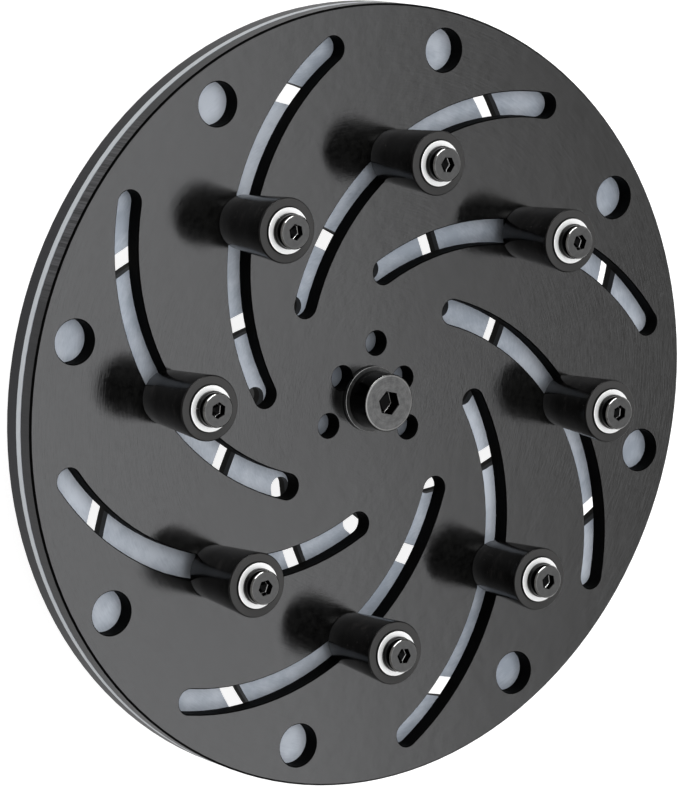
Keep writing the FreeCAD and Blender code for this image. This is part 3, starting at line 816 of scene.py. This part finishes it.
def smooth_group():
    """Joins a disc's facets and shades it smooth, but for edges over 25 degrees."""
    tree = bpy.data.node_groups.new("Smooth by angle", "GeometryNodeTree")
    for in_out in ("INPUT", "OUTPUT"):
        tree.interface.new_socket(name="Geometry", in_out=in_out,
                                  socket_type="NodeSocketGeometry")
    gin, gout = tree.nodes.new("NodeGroupInput"), tree.nodes.new("NodeGroupOutput")
    weld = tree.nodes.new("GeometryNodeMergeByDistance")
    weld.inputs["Distance"].default_value = 0.000002
    soft = tree.nodes.new("GeometryNodeSetShadeSmooth")
    hard = tree.nodes.new("GeometryNodeSetShadeSmooth")
    hard.domain = "EDGE"
    hard.inputs["Shade Smooth"].default_value = False
    edge = tree.nodes.new("GeometryNodeInputMeshEdgeAngle")
    steep = math_node(tree, "GREATER_THAN", edge.outputs[0], math.radians(25.0))
    feed(tree, hard.inputs["Selection"], steep)
    chain = (gin, weld, soft, hard, gout)
    for before, after in zip(chain, chain[1:]):
        feed(tree, after.inputs[0], before.outputs[0])
    return tree


SMOOTH = smooth_group()
for node, finish in (("front_disc", "front"), ("slide_plate", "slide"), ("back_disc", "back")):
    disc = bpy.data.objects[node]
    dress(disc, finish)
    disc.modifiers.new("smooth", "NODES").node_group = SMOOTH
for k in (1, 2, 3):
    dress(bpy.data.objects["hub_screw_%d" % k], "oxide")


# Floor, light and camera

def add_shaders(tree, a, b):
    node = tree.nodes.new("ShaderNodeAddShader")
    feed(tree, node.inputs[0], a)
    feed(tree, node.inputs[1], b)
    return node.outputs[0]


def pale_floor():
    """A plain floor that keeps the object's shadow. Its glow is seen by the camera, and
    fainter in reflections, and lights nothing."""
    half = 6.0
    camera_glow, gloss_glow = 0.88, 0.45
    mesh = bpy.data.meshes.new("floor")
    mesh.from_pydata([(-half, -half, 0), (half, -half, 0), (half, half, 0), (-half, half, 0)],
                     [], [(0, 1, 2, 3)])
    floor = bpy.data.objects.new("floor", mesh)
    bpy.context.scene.collection.objects.link(floor)
    mat = bpy.data.materials.new("pale_floor")
    mat.use_nodes = True
    tree = mat.node_tree
    tree.nodes.clear()
    out = tree.nodes.new("ShaderNodeOutputMaterial")
    diffuse = tree.nodes.new("ShaderNodeBsdfDiffuse")
    diffuse.inputs["Color"].default_value = rgba(0.45)
    glow = tree.nodes.new("ShaderNodeEmission")
    ray = tree.nodes.new("ShaderNodeLightPath").outputs
    seen = add_up(tree, (ray["Is Camera Ray"], camera_glow), (ray["Is Glossy Ray"], gloss_glow))
    feed(tree, glow.inputs["Strength"], seen)
    feed(tree, out.inputs["Surface"], add_shaders(tree, diffuse.outputs[0], glow.outputs[0]))
    mesh.materials.append(mat)


def background(tree, strength, colour):
    node = tree.nodes.new("ShaderNodeBackground")
    node.inputs["Color"].default_value = rgba(colour)
    feed(tree, node.inputs["Strength"], strength)
    return node.outputs[0]


def overhead_panel(tree, x, y, z):
    """A wide panel overhead, drawn on the plane one metre up, from 0 to 1. Its far edge fades
    slowly and is turned a little from the Y axis: along and across are its own directions."""
    turn = math.radians(25.0)
    up = math_node(tree, "MAXIMUM", z, 0.05)
    u, v = math_node(tree, "DIVIDE", x, up), math_node(tree, "DIVIDE", y, up)
    along = math_node(tree, "SUBTRACT", math_node(tree, "MULTIPLY", v, math.cos(turn)),
                      math_node(tree, "MULTIPLY", u, math.sin(turn)))
    across = math_node(tree, "ADD", math_node(tree, "MULTIPLY", u, math.cos(turn)),
                       math_node(tree, "MULTIPLY", v, math.sin(turn)))
    far_edge = map_range(tree, along, 0.56, 0.78, 1.0, 0.0, True)
    near_edge = map_range(tree, along, -0.80, -0.20, 0.0, 1.0, True)
    sides = map_range(tree, math_node(tree, "ABSOLUTE", across), 0.6, 0.9, 1.0, 0.0, True)
    return math_node(tree, "MULTIPLY", math_node(tree, "MULTIPLY", far_edge, near_edge), sides)


def strip_lamp(tree, direction):
    """A strip lamp low at the photograph's upper left, which the screws' bevels catch: as long
    as its cone and as wide as its plane lets through."""
    cone = vector_math(tree, "DOT_PRODUCT", direction, (-0.853, -0.294, 0.430))
    plane = vector_math(tree, "DOT_PRODUCT", direction, (-0.308, -0.464, -0.830))
    length = map_range(tree, cone, 0.87, 0.94, 0.0, 14.0, True)
    width = map_range(tree, math_node(tree, "ABSOLUTE", plane), 0.04, 0.10, 1.0, 0.0, True)
    return math_node(tree, "MULTIPLY", length, width)


def studio():
    """The world: a room that brightens upwards, the overhead panel and the strip lamp. The
    camera sees plain white instead."""
    world = bpy.data.worlds.new("studio")
    bpy.context.scene.world = world
    world.use_nodes = True
    tree = world.node_tree
    tree.nodes.clear()
    out = tree.nodes.new("ShaderNodeOutputWorld")
    direction = tree.nodes.new("ShaderNodeTexCoord").outputs["Generated"]
    x, y, z = vector_parts(tree, direction)
    room = background(tree, map_range(tree, z, 0.0, 0.9, 0.28, 0.43), (1.0, 0.985, 0.96))
    panel = math_node(tree, "MULTIPLY", overhead_panel(tree, x, y, z), 1.55)
    both = add_shaders(tree, room, background(tree, panel, (0.97, 0.985, 1.02)))
    sky = add_shaders(tree, both, background(tree, strip_lamp(tree, direction), 1.0))
    mix = tree.nodes.new("ShaderNodeMixShader")
    ray = tree.nodes.new("ShaderNodeLightPath").outputs
    feed(tree, mix.inputs[0], ray["Is Camera Ray"])
    feed(tree, mix.inputs[1], sky)
    feed(tree, mix.inputs[2], background(tree, 1.0, 1.0))
    feed(tree, out.inputs["Surface"], mix.outputs[0])


def photo_camera():
    """The photograph's camera, solved from the eight finger holes: its place and its three
    axes in the chuck's frame, and its focal length in the photograph's pixels."""
    photo_height, focal_px, sensor = 788.0, 4231.7, 36.0
    right = (-0.20480257, 0.79725006, 0.56784527)
    up = (-0.97849441, -0.15218842, -0.13923853)
    back = (-0.02458844, -0.58414984, 0.81127331)
    place = (-0.038846, -0.949042, 1.346447)
    data = bpy.data.cameras.new("photo_camera")
    data.sensor_fit = "VERTICAL"
    data.sensor_height = sensor
    data.lens = focal_px / photo_height * sensor
    data.clip_end = 50.0
    cam = bpy.data.objects.new("photo_camera", data)
    cam.matrix_world = Matrix(list(zip(right, up, back, place)) + [(0, 0, 0, 1)])
    bpy.context.scene.collection.objects.link(cam)
    bpy.context.scene.camera = cam


pale_floor()
studio()
photo_camera()
bpy.context.scene.view_settings.view_transform = "Standard"
